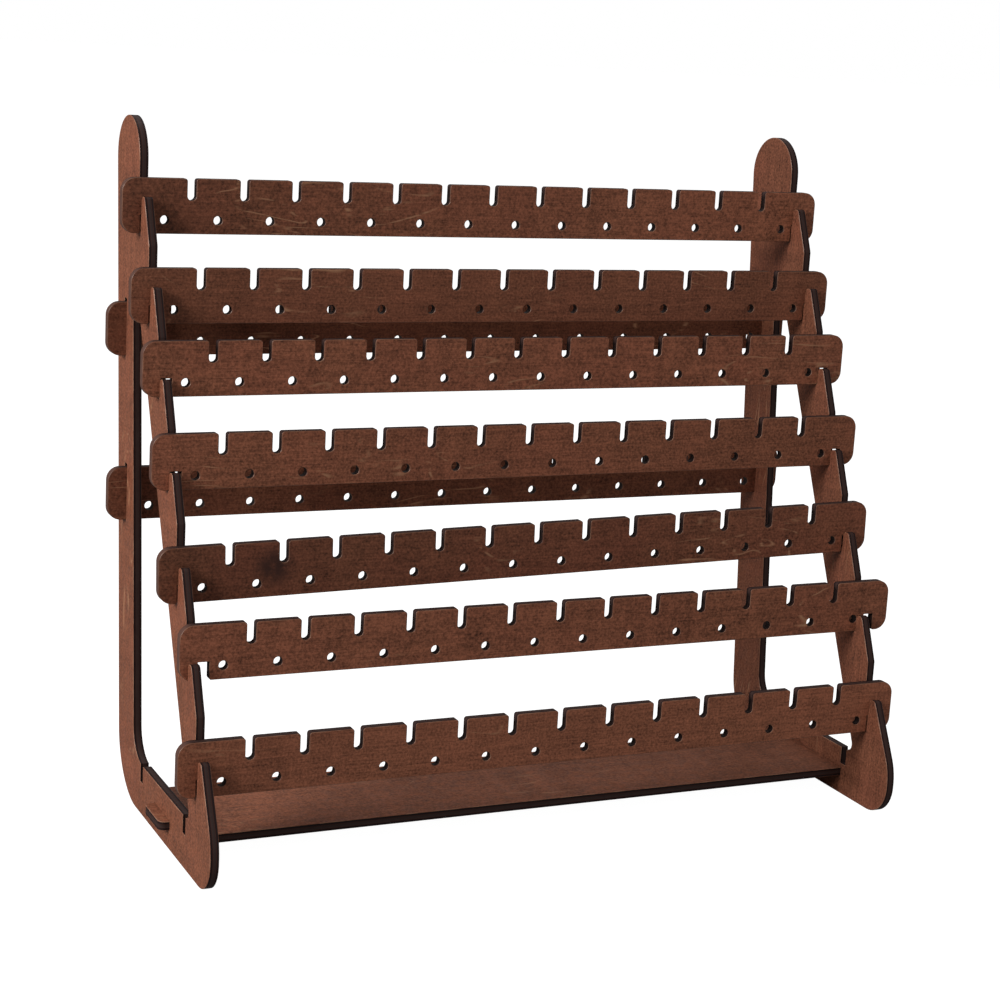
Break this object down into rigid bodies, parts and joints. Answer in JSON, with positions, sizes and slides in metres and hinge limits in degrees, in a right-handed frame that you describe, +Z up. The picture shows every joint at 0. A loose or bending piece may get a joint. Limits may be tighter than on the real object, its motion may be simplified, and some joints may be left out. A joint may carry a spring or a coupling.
{
  "type": "jewellery display rack",
  "caption": "Free-standing tiered plywood rack: notched bars with hook slots and post holes stand in stepped side frames above a base shelf.",
  "frame": {"origin": "on the standing surface, below the middle of the rack's bounding box", "axes": "+Z up, the display front faces -Y, +X runs along the bars to the viewer's right"},
  "size_m": [0.3548, 0.1621, 0.3073],
  "materials": {
    "frame_plywood": "satin brown stain, laser-darkened edges",
    "bar_plywood": "satin dark brown stain, laser-darkened edges",
    "shelf_plywood": "satin dark brown stain, laser-darkened edges"
  },
  "bodies": {
    "rack": {"left_side_frame": "frame_plywood", "right_side_frame": "frame_plywood", "shelf_board": "shelf_plywood"},
    "front_bar_1": {"front_bar_1": "bar_plywood"},
    "front_bar_2": {"front_bar_2": "bar_plywood"},
    "front_bar_3": {"front_bar_3": "bar_plywood"},
    "front_bar_4": {"front_bar_4": "bar_plywood"},
    "front_bar_5": {"front_bar_5": "bar_plywood"},
    "front_bar_6": {"front_bar_6": "bar_plywood"},
    "front_bar_7": {"front_bar_7": "bar_plywood"},
    "rear_bar_upper": {"rear_bar_upper": "bar_plywood"},
    "rear_bar_lower": {"rear_bar_lower": "bar_plywood"}
  },
  "joints": [
    {"name": "front_bar_1_lift", "type": "slide", "parent": "rack", "child": "front_bar_1", "axis": [0, 0, 1], "range_m": [0, 0.03]},
    {"name": "front_bar_2_lift", "type": "slide", "parent": "rack", "child": "front_bar_2", "axis": [0, 0, 1], "range_m": [0, 0.03]},
    {"name": "front_bar_3_lift", "type": "slide", "parent": "rack", "child": "front_bar_3", "axis": [0, 0, 1], "range_m": [0, 0.03]},
    {"name": "front_bar_4_lift", "type": "slide", "parent": "rack", "child": "front_bar_4", "axis": [0, 0, 1], "range_m": [0, 0.03]},
    {"name": "front_bar_5_lift", "type": "slide", "parent": "rack", "child": "front_bar_5", "axis": [0, 0, 1], "range_m": [0, 0.03]},
    {"name": "front_bar_6_lift", "type": "slide", "parent": "rack", "child": "front_bar_6", "axis": [0, 0, 1], "range_m": [0, 0.03]},
    {"name": "front_bar_7_lift", "type": "slide", "parent": "rack", "child": "front_bar_7", "axis": [0, 0, 1], "range_m": [0, 0.03]},
    {"name": "rear_bar_upper_slide", "type": "slide", "parent": "rack", "child": "rear_bar_upper", "axis": [1, 0, 0], "range_m": [-0.345, 0.345]},
    {"name": "rear_bar_lower_slide", "type": "slide", "parent": "rack", "child": "rear_bar_lower", "axis": [1, 0, 0], "range_m": [-0.345, 0.345]}
  ]
}
